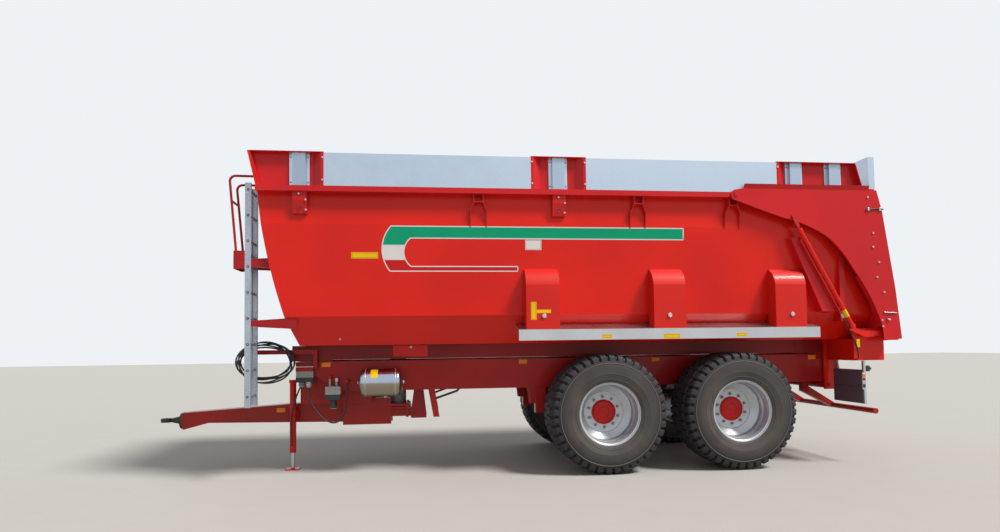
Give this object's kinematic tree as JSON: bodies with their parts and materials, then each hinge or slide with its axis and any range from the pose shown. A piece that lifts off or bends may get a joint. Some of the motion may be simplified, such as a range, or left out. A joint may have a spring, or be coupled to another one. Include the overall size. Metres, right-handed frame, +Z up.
{
  "type": "tandem-axle tipping farm trailer",
  "caption": "Tandem-axle tipping farm trailer: hollow steel body, rising tailgate on side ears, sprung drawbar, ladder and parking jack.",
  "frame": {"origin": "on the ground, under the middle of the overall length, on the centre line", "axes": "+X to the rear of the trailer, +Y to its right side, +Z up"},
  "size_m": [8.78, 2.54, 3.645],
  "materials": {
    "red_paint": "gloss red paint",
    "galvanised": "galvanised steel",
    "aluminium": "mill finish",
    "black_steel": "black forged steel",
    "tyre": "matt rubber",
    "rim_silver": "silver paint",
    "chrome": "polished rod",
    "stainless": "polished stainless steel",
    "valve_grey": "grey paint",
    "rubber": "matt",
    "cylinder_grey": "grey paint"
  },
  "bodies": {
    "chassis": {"chassis_frame": "red_paint", "drawbar": "red_paint", "towing_eye": "black_steel", "jack_tube": "red_paint", "axle_front": "red_paint", "axle_rear": "red_paint", "suspension_springs": "black_steel", "air_tank": "stainless", "brake_valves": "valve_grey", "underrun_bar": "red_paint", "hose_coil": "rubber", "brake_hose": "rubber", "jack_hose": "rubber"},
    "tub": {"side_wall_left": "red_paint", "side_wall_right": "red_paint", "floor_trough": "red_paint", "front_wall": "red_paint", "front_extension": "red_paint", "top_rail_left": "red_paint", "top_rail_right": "red_paint", "body_subframe": "red_paint", "rear_sill": "red_paint", "fenders": "aluminium", "fender_mounts": "red_paint", "side_ribs": "red_paint", "rail_brackets": "red_paint", "extension_trays": "red_paint", "extension_boards": "aluminium", "ladder": "galvanised", "ladder_stays": "red_paint", "door_locks": "red_paint", "mud_flaps": "rubber", "tail_lamps": "galvanised", "tailgate_hose_left": "rubber", "tailgate_hose_right": "rubber"},
    "tailgate": {"tailgate_ear_left": "red_paint", "tailgate_ear_right": "red_paint", "tailgate_door": "red_paint", "tailgate_board": "aluminium"},
    "jack_leg": {"jack_foot": "chrome"},
    "tip_barrel": {"tip_cylinder_barrel": "cylinder_grey"},
    "tip_stage_1": {"tip_cylinder_stage_1": "cylinder_grey"},
    "tip_stage_2": {"tip_cylinder_stage_2": "cylinder_grey"},
    "tip_stage_3": {"tip_cylinder_stage_3": "cylinder_grey"},
    "tip_stage_4": {"tip_cylinder_stage_4": "cylinder_grey"},
    "tip_stage_5": {"tip_cylinder_stage_5": "cylinder_grey"},
    "tip_stage_6": {"tip_cylinder_stage_6": "cylinder_grey"},
    "tip_stage_7": {"tip_cylinder_stage_7": "cylinder_grey"},
    "door_barrel_left": {"door_cylinder_barrel_left": "red_paint"},
    "door_rod_left": {"door_cylinder_rod_left": "chrome"},
    "door_barrel_right": {"door_cylinder_barrel_right": "red_paint"},
    "door_rod_right": {"door_cylinder_rod_right": "chrome"},
    "wheel_front_left": {"rim_front_left": "rim_silver", "tyre_front_left": "tyre"},
    "wheel_front_right": {"rim_front_right": "rim_silver", "tyre_front_right": "tyre"},
    "wheel_rear_left": {"rim_rear_left": "rim_silver", "tyre_rear_left": "tyre"},
    "wheel_rear_right": {"rim_rear_right": "rim_silver", "tyre_rear_right": "tyre"}
  },
  "joints": [
    {"name": "body_tip", "type": "hinge", "parent": "chassis", "child": "tub", "pos_m": [3.89, 0, 0.9], "axis": [0, 1, 0], "range_deg": [0, 45]},
    {"name": "tailgate_lift", "type": "hinge", "parent": "tub", "child": "tailgate", "pos_m": [2.382, 0, 3.164], "axis": [0, -1, 0], "range_deg": [0, 75]},
    {"name": "jack_leg_slide", "type": "slide", "parent": "chassis", "child": "jack_leg", "axis": [0, 0, 1], "range_m": [0, 0.18]},
    {"name": "tip_barrel_swing", "type": "hinge", "parent": "chassis", "child": "tip_barrel", "pos_m": [-1.55, 0, 1.19], "axis": [0, 1, 0], "range_deg": [0, 26.99]},
    {"name": "tip_stage_1_slide", "type": "slide", "parent": "tip_barrel", "child": "tip_stage_1", "axis": [0, 0, 1], "range_m": [0, 0.596]},
    {"name": "tip_stage_2_slide", "type": "slide", "parent": "tip_stage_1", "child": "tip_stage_2", "axis": [0, 0, 1], "range_m": [0, 0.596]},
    {"name": "tip_stage_3_slide", "type": "slide", "parent": "tip_stage_2", "child": "tip_stage_3", "axis": [0, 0, 1], "range_m": [0, 0.596]},
    {"name": "tip_stage_4_slide", "type": "slide", "parent": "tip_stage_3", "child": "tip_stage_4", "axis": [0, 0, 1], "range_m": [0, 0.596]},
    {"name": "tip_stage_5_slide", "type": "slide", "parent": "tip_stage_4", "child": "tip_stage_5", "axis": [0, 0, 1], "range_m": [0, 0.596]},
    {"name": "tip_stage_6_slide", "type": "slide", "parent": "tip_stage_5", "child": "tip_stage_6", "axis": [0, 0, 1], "range_m": [0, 0.596]},
    {"name": "tip_stage_7_slide", "type": "slide", "parent": "tip_stage_6", "child": "tip_stage_7", "axis": [0, 0, 1], "range_m": [0, 0.596]},
    {"name": "door_barrel_left_swing", "type": "hinge", "parent": "tub", "child": "door_barrel_left", "pos_m": [3.765, 0, 1.625], "axis": [0, 1, 0], "range_deg": [0, 5.02]},
    {"name": "door_rod_left_slide", "type": "slide", "parent": "door_barrel_left", "child": "door_rod_left", "axis": [-0.4798, 0, 0.8774], "range_m": [0, 0.8824]},
    {"name": "door_barrel_right_swing", "type": "hinge", "parent": "tub", "child": "door_barrel_right", "pos_m": [3.765, 0, 1.625], "axis": [0, 1, 0], "range_deg": [0, 5.02]},
    {"name": "door_rod_right_slide", "type": "slide", "parent": "door_barrel_right", "child": "door_rod_right", "axis": [-0.4798, 0, 0.8774], "range_m": [0, 0.8824]},
    {"name": "wheel_front_left_spin", "type": "hinge", "parent": "chassis", "child": "wheel_front_left", "pos_m": [0.84, -0.97, 0.67], "axis": [0, 1, 0], "continuous": true},
    {"name": "wheel_front_right_spin", "type": "hinge", "parent": "chassis", "child": "wheel_front_right", "pos_m": [0.84, 0.97, 0.67], "axis": [0, 1, 0], "continuous": true},
    {"name": "wheel_rear_left_spin", "type": "hinge", "parent": "chassis", "child": "wheel_rear_left", "pos_m": [2.39, -0.97, 0.67], "axis": [0, 1, 0], "continuous": true},
    {"name": "wheel_rear_right_spin", "type": "hinge", "parent": "chassis", "child": "wheel_rear_right", "pos_m": [2.39, 0.97, 0.67], "axis": [0, 1, 0], "continuous": true}
  ],
  "couplings": [
    {"joint": "tip_barrel_swing", "follows": "body_tip", "ratio": 0.58875},
    {"joint": "tip_stage_1_slide", "follows": "body_tip", "m_per_rad": 0.75626},
    {"joint": "tip_stage_2_slide", "follows": "body_tip", "m_per_rad": 0.75626},
    {"joint": "tip_stage_3_slide", "follows": "body_tip", "m_per_rad": 0.75626},
    {"joint": "tip_stage_4_slide", "follows": "body_tip", "m_per_rad": 0.75626},
    {"joint": "tip_stage_5_slide", "follows": "body_tip", "m_per_rad": 0.75626},
    {"joint": "tip_stage_6_slide", "follows": "body_tip", "m_per_rad": 0.75626},
    {"joint": "tip_stage_7_slide", "follows": "body_tip", "m_per_rad": 0.75626},
    {"joint": "door_barrel_left_swing", "follows": "tailgate_lift", "ratio": 0.06023},
    {"joint": "door_rod_left_slide", "follows": "tailgate_lift", "m_per_rad": 0.67026},
    {"joint": "door_barrel_right_swing", "follows": "tailgate_lift", "ratio": 0.06023},
    {"joint": "door_rod_right_slide", "follows": "tailgate_lift", "m_per_rad": 0.67026}
  ]
}
